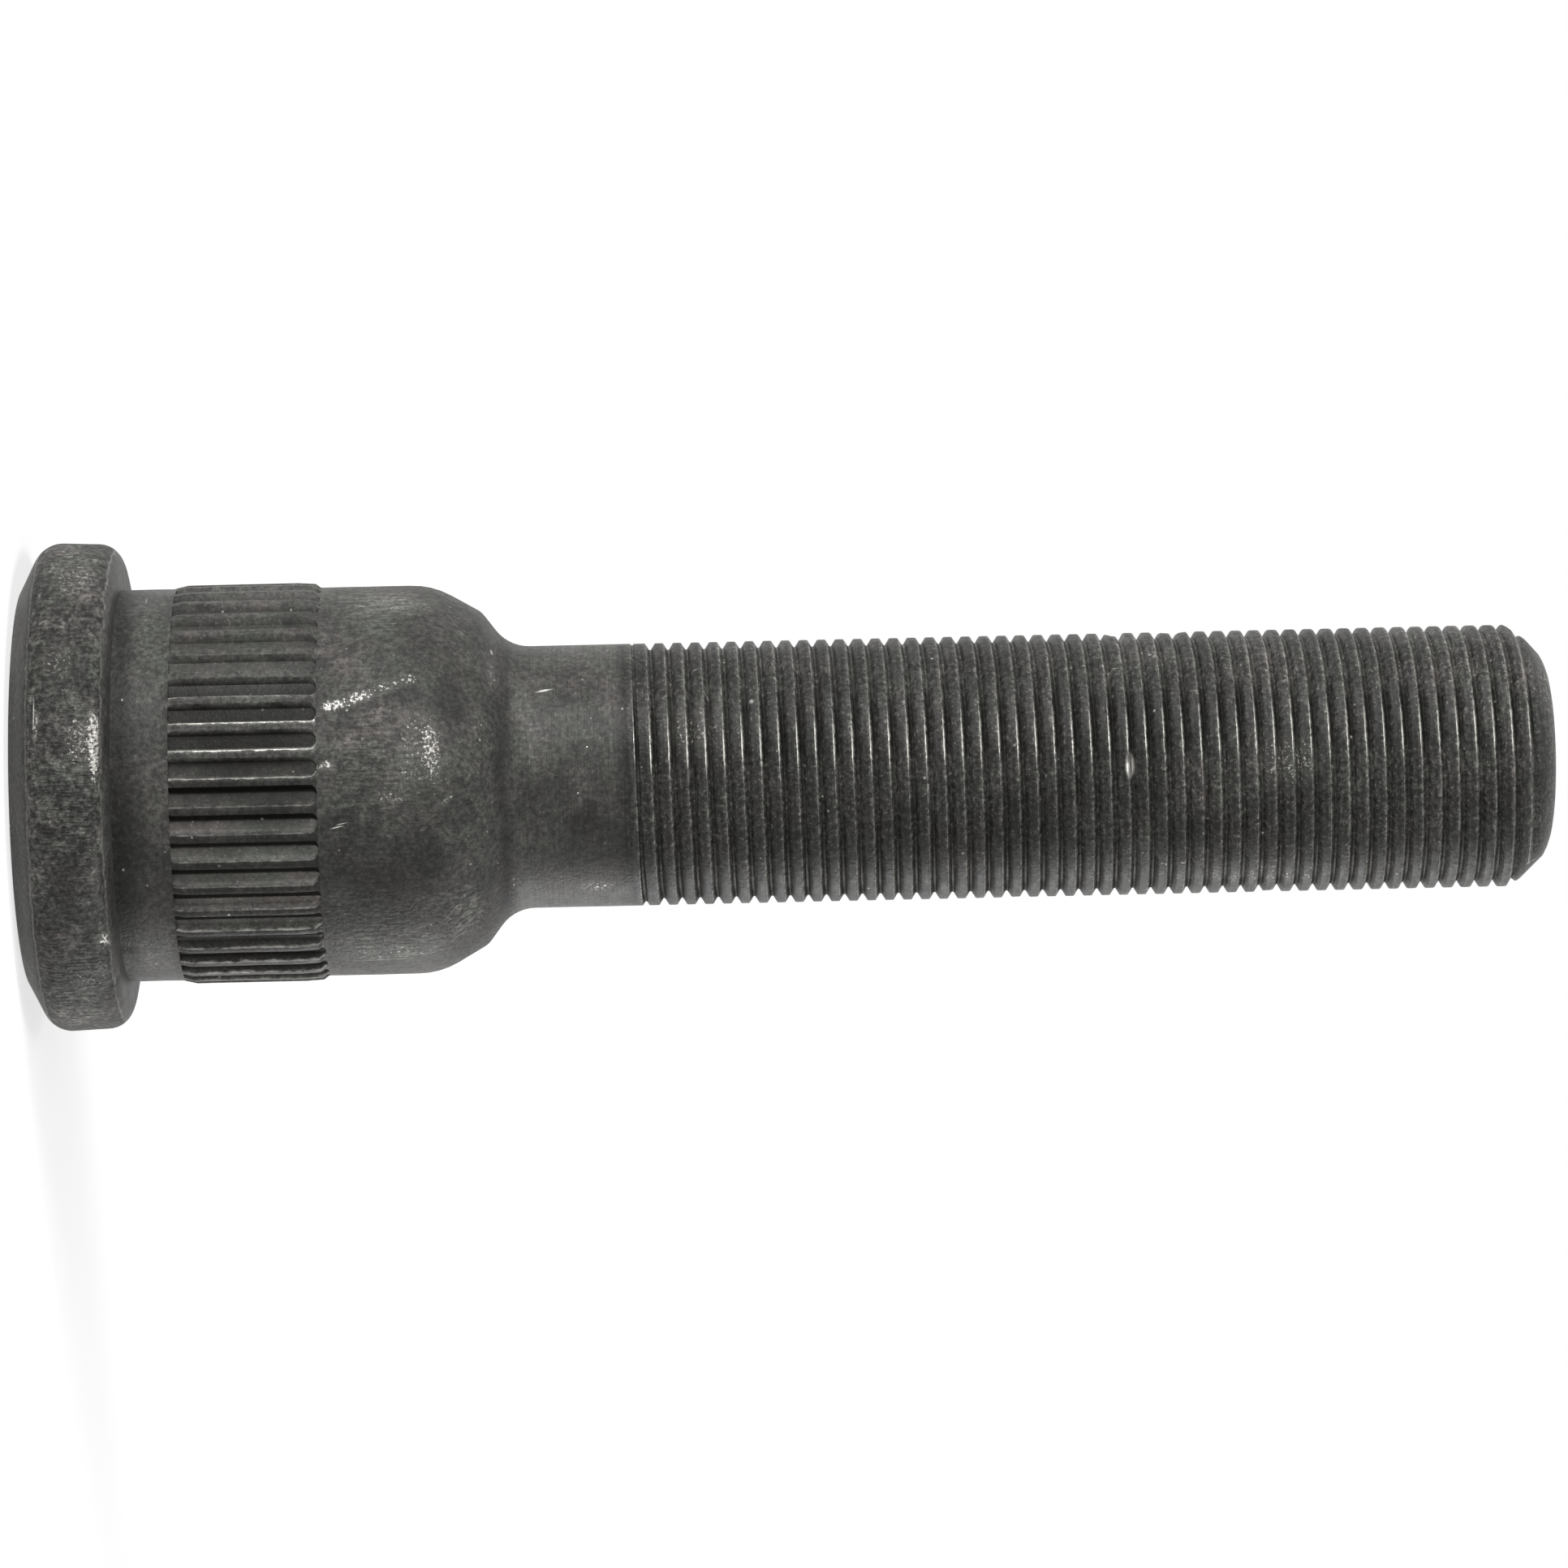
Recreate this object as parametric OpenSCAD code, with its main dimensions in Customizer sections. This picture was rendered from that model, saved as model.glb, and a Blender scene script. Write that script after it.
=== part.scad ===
// Wheel stud, forged and rolled in one piece.
// The origin is the centre of the head's back face, and +Z runs up the axis to the tip.

/* [Head] */
// Diameter of the head where its back chamfer ends
head_d = 40.7; // [38:0.1:46]
// Height of the head, from the back face to the bearing face
head_h = 8.2; // [6.5:0.1:12]
// Diameter of the flat back face
back_d = 33; // [26:0.1:35]
// Height of the chamfer round the back of the head
back_chamfer_h = 1.95; // [1.5:0.05:2.6]
// Radius that blends the back chamfer into the side of the head
back_round_r = 2.3; // [0.5:0.1:2.8]
// How much the side of the head draws in on radius towards the bearing face
head_draft = 0.25; // [0.05:0.05:0.6]
// Radius of the edge round the bearing face
bearing_round_r = 1.9; // [0.4:0.1:2.6]

/* [Neck and serrations] */
// Diameter of the plain neck under the head
neck_d = 32.6; // [32.4:0.05:32.9]
// Length of the plain neck, from the bearing face to where the ribs begin to rise
neck_len = 4.3; // [2:0.05:10]
// Diameter over the ribs of the serrations
rib_d = 33.15; // [33:0.05:33.6]
// Diameter at the floors of the serrations
rib_floor_d = 31.9; // [31.4:0.05:32.2]
// Length of the serrations, with the rise and the fall of the ribs
rib_len = 12.15; // [8:0.05:20]
// Length over which the ribs rise out of the neck
rib_lead_in = 1.2; // [0.6:0.1:3]
// Length over which the ribs fall to the body
rib_lead_out = 0.5; // [0.2:0.1:2]
// Number of ribs round the stud
rib_count = 45; // [36:1:52]
// Width of each rib across its top
rib_w = 0.65; // [0.4:0.05:0.8]
// Width of the sloped flank on each side of a rib
rib_flank_w = 0.3; // [0.1:0.05:0.4]
// How far up the rise of the ribs each pressed floor begins
floor_setback = 0.35; // [0.1:0.05:0.5]
// How far each pressed floor runs past the far end of its ribs
floor_overrun = 0.2; // [0.1:0.05:0.8]
// Radius in the corners of each pressed floor, at the end away from the head
floor_corner_r = 0.6; // [0.2:0.05:0.6]

/* [Body and shoulder] */
// Diameter of the plain body beyond the serrations
body_d = 32.35; // [32.3:0.05:32.8]
// Length of the plain body, from the serrations to the shoulder
body_len = 7.45; // [3:0.05:20]
// Radius where the body turns into the shoulder
shoulder_round_r = 6.7; // [4:0.1:8]
// Slope of the shoulder's first cone, from the axis
shoulder_slope = 30; // [24:1:36]
// Length along the axis between the corners of the first cone
shoulder_len = 4.05; // [3.6:0.05:5]
// Radius that blends the first cone into the second
waist_round_r = 1.9; // [0.5:0.1:4]
// Slope of the shoulder's second cone, from the axis
waist_slope = 53; // [45:1:60]
// Radius of the fillet where the shoulder meets the shank
fillet_r = 3.5; // [1:0.1:4.2]

/* [Shank and thread] */
// Diameter of the shank and over the thread, for a thread of 22 mm
thread_d = 21.8; // [20:0.05:22.5]
// Whether the thread's groove is cut, or the thread is left as the cylinder over its crests
thread_cut = false; // [true, false]
// Pitch of the thread
pitch = 1.5; // [1.25:0.25:2]
// Depth of the thread groove
groove_depth = 0.55; // [0.4:0.05:0.75]
// Width of the flat at the root of the groove
root_w = 0.17; // [0.1:0.01:0.3]
// Angle between the flanks of the groove
flank_angle = 60; // [50:1:62]
// Length of the plain shank, from the fillet to the first groove
shank_len = 8.1; // [3:0.1:20]
// Length from the first groove to the start of the tip's chamfer
thread_len = 72.95; // [30:0.05:120]
// Turns over which the first groove comes to its full depth
run_out_turns = 1.3; // [0.5:0.1:3]

/* [Tip] */
// Length of the tip, from the start of its chamfer to the end face
tip_len = 3.45; // [2.5:0.05:5]
// Slope of the tip's chamfer, from the axis
tip_slope = 35; // [20:1:40]
// Radius of the edge round the end face
tip_round_r = 4.6; // [0.5:0.1:4.8]

/* [Hidden] */
// Facets round a full turn of a turned surface
$fn = 96;
// Straight steps in a turn of the thread groove
steps_per_turn = 24;
// Direction round the axis in which the thread groove begins
groove_start_angle = 90;
// How far a cutter stands clear of the surface that it cuts
clear = 0.4;

head_r = head_d / 2;
back_r = back_d / 2;
neck_r = neck_d / 2;
rib_r = rib_d / 2;
rib_floor_r = rib_floor_d / 2;
body_r = body_d / 2;
thread_r = thread_d / 2;
rib_start = head_h + neck_len;
rib_end = rib_start + rib_len;
floor_start = rib_start + floor_setback;
floor_len = rib_end + floor_overrun - floor_start;
shoulder_start = rib_end + body_len;

// The shoulder's corners before they are rounded, each as [radius, height]
cone_start = [body_r, shoulder_start + shoulder_round_r * tan(shoulder_slope / 2)];
cone_end = [body_r - shoulder_len * tan(shoulder_slope), cone_start[1] + shoulder_len];
shoulder_foot = [thread_r, cone_end[1] + (cone_end[0] - thread_r) / tan(waist_slope)];
fillet_end = shoulder_foot[1] + fillet_r * tan(waist_slope / 2);

thread_start = fillet_end + shank_len;
tip_start = thread_start + thread_len;
tip_end = tip_start + tip_len;
end_r = thread_r - tip_len * tan(tip_slope);

// Unit vector from one point to another
function toward(a, b) = (b - a) / norm(b - a);

// Centre of the circle of radius r that touches both sides of the corner at p
function corner_centre(before, p, after, r) =
    let (u = toward(p, before), v = toward(p, after))
    p + (u + v) / norm(u + v) * r / sqrt((1 - u * v) / 2);

// Point on the side from p towards q where that circle touches it
function touch_point(p, q, centre) = p + toward(p, q) * (toward(p, q) * (centre - p));

// Sliver between a corner of the profile and the circle that rounds it
module corner_sliver(before, p, after, r) {
    centre = corner_centre(before, p, after, r);
    difference() {
        polygon([p, touch_point(p, before, centre), centre, touch_point(p, after, centre)]);
        translate(centre) circle(r);
    }
}

// Half section of the turned blank, plain where the floors and the thread are cut
module blank_section() {
    back_corner = [head_r, back_chamfer_h];
    bearing_corner = [head_r - head_draft, head_h];
    difference() {
        union() {
            polygon([
                [0, 0], [back_r, 0], back_corner, bearing_corner,
                [neck_r, head_h], [neck_r, rib_start],
                [rib_r, rib_start + rib_lead_in], [rib_r, rib_end - rib_lead_out],
                [body_r, rib_end],
                cone_start, cone_end, shoulder_foot,
                [thread_r, tip_start], [end_r, tip_end], [0, tip_end],
            ]);
            corner_sliver(cone_end, shoulder_foot, [thread_r, tip_start], fillet_r);
        }
        corner_sliver([back_r, 0], back_corner, bearing_corner, back_round_r);
        corner_sliver(back_corner, bearing_corner, [neck_r, head_h], bearing_round_r);
        corner_sliver([body_r, rib_end], cone_start, cone_end, shoulder_round_r);
        corner_sliver(cone_start, cone_end, shoulder_foot, waist_round_r);
        corner_sliver([thread_r, tip_start], [end_r, tip_end], [0, tip_end], tip_round_r);
    }
}

// Outline of a pressed floor, square towards the head and round-cornered at its other end
module floor_outline(width, length) {
    square([width, length - floor_corner_r]);
    translate([floor_corner_r, 0])
        square([width - 2 * floor_corner_r, length]);
    for (side = [floor_corner_r, width - floor_corner_r])
        translate([side, length - floor_corner_r])
            circle(floor_corner_r);
}

// Cutter for one floor between two ribs, with a sloped flank on each side
module rib_floor() {
    depth = rib_r - rib_floor_r;
    top = 2 * rib_r * sin(180 / rib_count) - rib_w;
    slope = rib_flank_w / depth;
    half_floor = top / 2 - rib_flank_w;
    half_top = top / 2 + slope * clear;
    intersection() {
        translate([rib_floor_r, -half_top, floor_start])
            rotate([90, 0, 90])
                linear_extrude(depth + clear) floor_outline(2 * half_top, floor_len);
        translate([0, 0, floor_start - clear])
            linear_extrude(floor_len + 2 * clear)
                polygon([
                    [rib_floor_r, -half_floor], [rib_r + clear, -half_top],
                    [rib_r + clear, half_top], [rib_floor_r, half_floor],
                ]);
    }
}

// Every floor round the stud
module rib_floors() {
    for (i = [0 : rib_count - 1])
        rotate([0, 0, (i + 0.5) * 360 / rib_count])
            rib_floor();
}

// Corners of the groove's section at the angle a round the axis
function groove_ring(a, z, depth) =
    let (
        half_root = root_w / 2,
        half_top = half_root + (depth + clear) * tan(flank_angle / 2),
        inner = thread_r - depth,
        outer = thread_r + clear
    )
    [
        for (c = [[outer, -half_top], [inner, -half_root], [inner, half_root], [outer, half_top]])
            [c[0] * cos(a), c[0] * sin(a), z + c[1]]
    ];

// Cutter for the helical groove, shallow at its start and running out over the tip
module groove_cutter() {
    corners = 4;
    turns = (tip_start + groove_depth / tan(tip_slope) + pitch / 2 - thread_start) / pitch;
    steps = ceil(turns * steps_per_turn);
    points = [
        for (i = [0 : steps])
            let (turn = i / steps_per_turn)
            each groove_ring(
                groove_start_angle + 360 * turn,
                thread_start + pitch * turn,
                groove_depth * min(1, turn / run_out_turns)
            )
    ];
    sides = [
        for (i = [0 : steps - 1], j = [0 : corners - 1])
            let (
                a = i * corners + j,
                b = i * corners + (j + 1) % corners
            )
            each [[a, b + corners, b], [a, a + corners, b + corners]]
    ];
    last = steps * corners;
    ends = [[0, 1, 2, 3], [last + 3, last + 2, last + 1, last]];
    polyhedron(points, concat(sides, ends));
}

// The whole stud, one forged blank with pressed ribs and, where it is asked for, a cut thread
module wheel_stud() {
    color("dimgray")
        difference() {
            rotate_extrude() blank_section();
            rib_floors();
            if (thread_cut) groove_cutter();
        }
}

wheel_stud();
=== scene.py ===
"""The looks of a wheel stud: turned blank, pressed ribs, rolled thread, coat and studio."""
import math
from types import SimpleNamespace

import bmesh
import bpy
import numpy as np
from bpy.props import FloatProperty, FloatVectorProperty, IntProperty, PointerProperty
from mathutils import Matrix, Vector, noise


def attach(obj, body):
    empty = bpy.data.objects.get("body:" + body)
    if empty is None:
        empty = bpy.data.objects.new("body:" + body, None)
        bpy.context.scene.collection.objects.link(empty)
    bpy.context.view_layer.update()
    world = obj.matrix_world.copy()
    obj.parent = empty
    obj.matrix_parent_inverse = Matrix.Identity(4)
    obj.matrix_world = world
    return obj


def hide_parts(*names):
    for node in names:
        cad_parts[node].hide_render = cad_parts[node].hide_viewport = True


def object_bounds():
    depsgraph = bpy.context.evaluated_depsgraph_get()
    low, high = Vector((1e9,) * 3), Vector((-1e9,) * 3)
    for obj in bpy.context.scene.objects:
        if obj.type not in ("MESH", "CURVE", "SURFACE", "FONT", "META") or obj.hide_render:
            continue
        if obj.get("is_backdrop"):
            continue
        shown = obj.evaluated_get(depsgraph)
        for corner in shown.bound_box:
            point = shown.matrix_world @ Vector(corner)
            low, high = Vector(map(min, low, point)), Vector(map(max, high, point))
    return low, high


bl_info = {
    "name": "Wheel Stud",
    "version": (1, 0, 0),
    "blender": (4, 5, 0),
    "location": "View3D > Sidebar > Stud",
    "description": "Builds a press-in wheel stud and the studio that it stands in",
    "category": "Object",
}

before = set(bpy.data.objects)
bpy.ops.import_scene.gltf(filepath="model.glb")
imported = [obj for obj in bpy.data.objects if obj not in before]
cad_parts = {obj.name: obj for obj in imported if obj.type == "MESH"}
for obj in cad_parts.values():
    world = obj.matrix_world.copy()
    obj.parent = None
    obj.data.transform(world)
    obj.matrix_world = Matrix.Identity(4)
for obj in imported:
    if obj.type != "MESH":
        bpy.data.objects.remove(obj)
CAD_LOW, CAD_HIGH = (corner.copy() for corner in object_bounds())

NODE = "wheel_stud"
MM = 0.001
# Columns round the head and body, for each rib
COLUMNS_PER_RIB = 8
# How many times fewer columns the shank and the thread have than the head
THREAD_COLUMNS_SHARE = 3
# Longest stretch of a turned section that has no extra ring
RING_SPACING = 1.2 * MM
# Turn of an arc of the section between two rings
ARC_STEP = 8.0
# Points closer than this are one point
WELD = 2e-6
# Turn of the camera, the lamps and the marks round the stud, which sets the ribs as in the photo
VIEW_TURN = math.radians(2.2)


def length(name, description, millimetres):
    """A size in metres, given in millimetres."""
    return FloatProperty(
        name=name, description=description, default=millimetres * MM,
        unit="LENGTH", subtype="DISTANCE", precision=5,
    )


def angle(name, description, degrees):
    """An angle in radians, given in degrees."""
    return FloatProperty(
        name=name, description=description, default=math.radians(degrees), subtype="ANGLE",
    )


def share(name, description, value):
    """A plain share from 0 to 1."""
    return FloatProperty(
        name=name, description=description, default=value, min=0, max=1, subtype="FACTOR",
    )


def colour(name, description, value):
    """A linear colour."""
    return FloatVectorProperty(
        name=name, description=description, default=value, size=3, min=0, max=1,
        subtype="COLOR",
    )


class StudSizes(bpy.types.PropertyGroup):
    """Sizes of the stud, the same as those of the part that it dresses."""
    head_d: length("Head diameter", "Across the head where its back chamfer ends", 40.7)
    head_h: length("Head height", "From the back face to the bearing face", 8.2)
    back_d: length("Back face diameter", "Across the flat back face", 33)
    back_chamfer_h: length("Back chamfer height", "Chamfer round the back face", 1.95)
    back_round_r: length("Back rounding", "Blends the back chamfer into the side", 2.3)
    head_draft: length("Head draft", "How much the side draws in on radius", 0.25)
    bearing_round_r: length("Bearing edge rounding", "Edge of the bearing face", 1.9)
    neck_d: length("Neck diameter", "Plain neck under the head", 32.6)
    neck_len: length("Neck length", "Bearing face to serrations", 4.3)
    rib_d: length("Rib diameter", "Over the ribs of the serrations", 33.15)
    rib_floor_d: length("Floor diameter", "At the pressed floors", 31.9)
    rib_len: length("Rib length", "Length of the serrations", 12.15)
    rib_lead_in: length("Rib lead in", "Length over which the ribs rise", 1.2)
    rib_lead_out: length("Rib lead out", "Length over which the ribs fall", 0.5)
    rib_count: IntProperty(name="Ribs", description="Ribs round the stud", default=45)
    rib_w: length("Rib width", "Across the top of a rib", 0.65)
    rib_flank_w: length("Rib flank width", "Sloped side of a rib", 0.3)
    floor_setback: length("Floor setback", "Where a floor begins on the ribs' rise", 0.35)
    floor_overrun: length("Floor overrun", "Floor past the far end of its ribs", 0.2)
    floor_corner_r: length("Floor corner", "Corners at the floor's far end", 0.6)
    body_d: length("Body diameter", "Plain body beyond the serrations", 32.35)
    body_len: length("Body length", "Serrations to shoulder", 7.45)
    shoulder_round_r: length("Shoulder rounding", "Body into shoulder", 6.7)
    shoulder_slope: angle("Shoulder slope", "First cone, from the axis", 30)
    shoulder_len: length("Shoulder length", "First cone between its corners", 4.05)
    waist_round_r: length("Waist rounding", "First cone into second", 1.9)
    waist_slope: angle("Waist slope", "Second cone, from the axis", 53)
    fillet_r: length("Fillet", "Shoulder into shank", 3.5)
    thread_d: length("Thread diameter", "Shank and thread crests", 21.8)
    pitch: length("Pitch", "Pitch of the thread", 1.5)
    groove_depth: length("Groove depth", "Depth of the thread groove", 0.55)
    root_w: length("Root width", "Flat at the root of the groove", 0.17)
    flank_angle: angle("Flank angle", "Between the flanks of the groove", 60)
    shank_len: length("Shank length", "Fillet to first groove", 8.1)
    thread_len: length("Thread length", "First groove to tip chamfer", 72.95)
    run_out_turns: FloatProperty(
        name="Run-out", description="Turns until the groove is full", default=1.3,
    )
    groove_start: angle("Groove start", "Direction in which the groove begins", 90)
    tip_len: length("Tip length", "Tip chamfer to end face", 3.45)
    tip_slope: angle("Tip slope", "Tip chamfer, from the axis", 35)
    tip_round_r: length("Tip rounding", "Edge round the end face", 4.6)


class StudFinish(bpy.types.PropertyGroup):
    """Coat, wear and painted shade of the steel."""
    coat_warm: colour("Warm coat", "Browner patches of the coat", (0.082, 0.0765, 0.072))
    coat_cool: colour("Cool coat", "Greener patches of the coat", (0.070, 0.073, 0.065))
    # Colour of the painted shade in the rolled and pressed hollows and of the painted shadow beside the
    # ribs
    painted_shade_colour: colour("Dark coat", "Coat in the rolled and pressed hollows", (0.013, 0.013, 0.012))
    bare_metal: colour("Bare metal", "Steel where the coat has rubbed off", (0.62, 0.60, 0.56))
    coat_roughness: share("Coat roughness", "Roughness of the coat", 0.46)
    bare_roughness: share("Bare roughness", "Roughness of rubbed steel", 0.3)
    coat_shine: share("Coat shine", "Mirror share of the coat", 0.2)
    pit_depth: length("Pit depth", "Depth of the coat's pits and marks", 0.17)
    forge_wave: length("Forging wave", "Waviness of the forged head and body", 0.05)


class StudStage(bpy.types.PropertyGroup):
    """Camera, lamps and floor."""
    camera_distance: length("Camera distance", "From the axis to the camera", 560)
    camera_height: length("Camera height", "Straight ahead of the camera", 56.5)
    aim_height: length("Aim height", "Middle of the picture, up the stud", 62.8)
    aim_side: length("Aim side", "Middle of the picture, beside the axis", 1.05)
    lens: FloatProperty(name="Lens", description="Focal length in mm", default=154.4)
    tilt: angle("Tilt", "How far the tip points up in the picture", 1.27)
    floor_colour: colour("Floor colour", "Plain pale floor", (0.9, 0.9, 0.9))
    floor_glow: share("Floor glow", "How white the floor shows by itself beside the stud", 0.64)
    world_fill: FloatProperty(name="World fill", description="Light of the room", default=0.12)


def sizes():
    """The stud's sizes."""
    return bpy.context.scene.stud_sizes


# Turned section

def unit(vector):
    """The vector at length 1."""
    return vector / np.linalg.norm(vector)


def rounded(before, corner, after, radius):
    """Points along the arc that rounds a corner of the section."""
    before, corner, after = (np.array(p, float) for p in (before, corner, after))
    u, v = unit(before - corner), unit(after - corner)
    half = math.acos(float(np.clip(u @ v, -1, 1))) / 2
    centre = corner + unit(u + v) * radius / math.sin(half)
    start = corner + u * radius / math.tan(half)
    end = corner + v * radius / math.tan(half)
    turn = math.pi - 2 * half
    steps = max(2, math.ceil(math.degrees(turn) / ARC_STEP))
    points = []
    for i in range(steps + 1):
        t = i / steps
        a = math.sin((1 - t) * turn) / math.sin(turn)
        b = math.sin(t * turn) / math.sin(turn)
        points.append(centre + a * (start - centre) + b * (end - centre))
    return points


def section(corners):
    """Points of a section from corners of (radius from axis, height, rounding)."""
    points = []
    for i, (r, z, rounding) in enumerate(corners):
        if rounding:
            points += rounded(corners[i - 1][:2], (r, z), corners[i + 1][:2], rounding)
        else:
            points.append(np.array((r, z), float))
    filled = [points[0]]
    for a, b in zip(points[:-1], points[1:]):
        parts = max(1, math.ceil(np.linalg.norm(b - a) / RING_SPACING))
        filled += [a + (b - a) * k / parts for k in range(1, parts + 1)]
    return filled


class Heights:
    """Heights and radii that follow from the stud's sizes."""

    def __init__(self):
        s = sizes()
        self.head_r, self.back_r, self.neck_r = s.head_d / 2, s.back_d / 2, s.neck_d / 2
        self.rib_r, self.floor_r = s.rib_d / 2, s.rib_floor_d / 2
        self.body_r, self.thread_r = s.body_d / 2, s.thread_d / 2
        self.rib_start = s.head_h + s.neck_len
        self.rib_end = self.rib_start + s.rib_len
        self.floor_start = self.rib_start + s.floor_setback
        self.floor_end = self.rib_end + s.floor_overrun
        shoulder = self.rib_end + s.body_len
        cone_z = shoulder + s.shoulder_round_r * math.tan(s.shoulder_slope / 2)
        self.cone_start = (self.body_r, cone_z)
        waist_r = self.body_r - s.shoulder_len * math.tan(s.shoulder_slope)
        self.cone_end = (waist_r, cone_z + s.shoulder_len)
        foot_z = self.cone_end[1] + (waist_r - self.thread_r) / math.tan(s.waist_slope)
        self.foot = (self.thread_r, foot_z)
        self.fillet_end = foot_z + s.fillet_r * math.tan(s.waist_slope / 2)
        self.thread_start = self.fillet_end + s.shank_len
        self.tip_start = self.thread_start + s.thread_len
        self.tip_end = self.tip_start + s.tip_len
        self.end_r = self.thread_r - s.tip_len * math.tan(s.tip_slope)


# Node trees

class Value:
    """What a node puts out, which joins others by plain arithmetic."""

    def __init__(self, tree, socket):
        self.tree, self.socket = tree, socket

    def __add__(self, other):
        return calc("ADD", self, other)

    def __sub__(self, other):
        return calc("SUBTRACT", self, other)

    def __mul__(self, other):
        return calc("MULTIPLY", self, other)

    def __truediv__(self, other):
        return calc("DIVIDE", self, other)

    def output(self, key):
        """Another output of the same node."""
        return Value(self.tree, self.socket.node.outputs[key])

    def line(self, slope, start):
        """The value times the slope, plus the start."""
        return calc("MULTIPLY_ADD", self, slope, start)

    def ramp(self, low, high, to_low=0.0, to_high=1.0):
        """The value mapped smoothly from one range to another, held at the ends."""
        return put(
            self.tree, "ShaderNodeMapRange", self, low, high, to_low, to_high,
            interpolation_type="SMOOTHSTEP",
        )

    def level(self, name):
        """The value mapped by one of the levels of the coat."""
        return self.ramp(*LEVELS[name])

    def tint(self, name):
        """A factor that is 1 where the value is 0, and 1 and the named tint where it is 1."""
        return self.line(TINTS[name], 1.0)

    def band(self, low, high, soft):
        """1 where the value is between two others, and 0 outside them."""
        return self.ramp(low - soft, low + soft) * self.ramp(high - soft, high + soft, 1.0, 0.0)

    def mix(self, a, b):
        """a where the value is 0, and b where it is 1."""
        return put(self.tree, "ShaderNodeMapRange", self, 0.0, 1.0, a, b)


def join(node, values):
    """Joins or sets a node's inputs by their number or name. None leaves an input alone."""
    for key, value in values.items():
        if isinstance(value, Value):
            node.id_data.links.new(value.socket, node.inputs[key])
        elif value is not None:
            node.inputs[key].default_value = value


def put(tree, kind, *values, named=None, **settings):
    """Adds a node, sets it up and joins its inputs, in order or by name."""
    made = tree.nodes.new(kind)
    for name, value in settings.items():
        setattr(made, name, value)
    join(made, dict(enumerate(values)) | (named or {}))
    return Value(tree, made.outputs[0]) if len(made.outputs) else None


def calc(operation, *values):
    """A math node of that operation, in the tree of its values."""
    tree = next(value.tree for value in values if isinstance(value, Value))
    return put(tree, "ShaderNodeMath", *values, operation=operation)


def most(first, *others):
    """The highest of some values."""
    for other in others:
        first = calc("MAXIMUM", first, other)
    return first


def pick(index, values):
    """The value that an index picks from a list."""
    made = index.tree.nodes.new("GeometryNodeIndexSwitch")
    made.data_type = "FLOAT"
    while len(made.index_switch_items) < len(values):
        made.index_switch_items.new()
    join(made, dict(enumerate([index, *values])))
    return Value(index.tree, made.outputs[0])


def new_tree(kind, name, inputs, result):
    """A tree with named inputs and one output, and its inputs as values."""
    tree = bpy.data.node_groups.new(name, kind + "NodeTree")
    for label, socket in inputs.items():
        tree.interface.new_socket(label, in_out="INPUT", socket_type="NodeSocket" + socket)
    tree.interface.new_socket(result, in_out="OUTPUT", socket_type="NodeSocket" + result)
    entry = put(tree, "NodeGroupInput")
    return tree, {label: entry.output(label) for label in inputs}


def shape_tree(name, **inputs):
    """A tree that makes a shape from a mesh, a material and the inputs given."""
    inputs = {label.replace("_", " "): kind for label, kind in inputs.items()}
    return new_tree(
        "Geometry", name, {"Geometry": "Geometry", **inputs, "Material": "Material"}, "Geometry",
    )


def close_tree(geometry, material):
    """Welds, realizes and paints what a tree makes, and ends the tree."""
    tree = geometry.tree
    welded = put(tree, "GeometryNodeMergeByDistance", geometry, None, WELD)
    solid = put(tree, "GeometryNodeRealizeInstances", welded)
    put(tree, "NodeGroupOutput", put(tree, "GeometryNodeSetMaterial", solid, None, material))
    return tree


def grid_rows_and_columns(columns, rows):
    """A grid mesh with the row and the column of each of its points."""
    grid = put(columns.tree, "GeometryNodeMeshGrid", 1.0, 1.0, columns, rows)
    index = put(columns.tree, "GeometryNodeInputIndex")
    return grid, calc("FLOORED_MODULO", index, rows), calc("FLOOR", index / rows)


def polar(radius, turn, height):
    """A point at that radius and angle round the axis, and that height."""
    x, y = radius * calc("COSINE", turn), radius * calc("SINE", turn)
    return put(radius.tree, "ShaderNodeCombineXYZ", x, y, height)


def turned_tree():
    """Revolves the section that it is given, whose points hold radius as X and height as Z."""
    tree, given = shape_tree("turned_surface", Columns="Int")
    rows = put(tree, "GeometryNodeAttributeDomainSize", given["Geometry"])
    grid, row, column = grid_rows_and_columns(given["Columns"] + 1.0, rows)
    place = put(tree, "GeometryNodeInputPosition")
    sample = put(
        tree, "GeometryNodeSampleIndex", data_type="FLOAT_VECTOR",
        named={"Geometry": given["Geometry"], "Value": place, "Index": row},
    )
    radius = put(tree, "ShaderNodeSeparateXYZ", sample)
    point = polar(radius, column / given["Columns"] * math.tau, radius.output("Z"))
    return close_tree(put(tree, "GeometryNodeSetPosition", grid, None, point), given["Material"])


def ribs_tree():
    """Copies one floor with its two half ribs round the axis."""
    tree, given = shape_tree("pressed_ribs", Ribs="Int")
    line = put(
        tree, "GeometryNodeMeshLine", given["Ribs"], None, (0, 0, 0), (0, 0, 0), mode="OFFSET",
    )
    index = put(tree, "GeometryNodeInputIndex")
    turn = (index + 0.5) / given["Ribs"] * math.tau
    spin = put(tree, "ShaderNodeCombineXYZ", 0.0, 0.0, turn)
    copies = put(
        tree, "GeometryNodeInstanceOnPoints", line, None, given["Geometry"], None, None, spin,
    )
    return close_tree(put(tree, "GeometryNodeRealizeInstances", copies), given["Material"])


# Rows of the thread's section across one pitch, from crest middle to crest middle
THREAD_ROWS = 9
# Share of its depth with which the groove starts
LEAST_GROOVE = 0.06
# How far the middle of the groove's root lies below its edges, as a share of its depth
ROOT_BOW = 1.04
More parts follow.
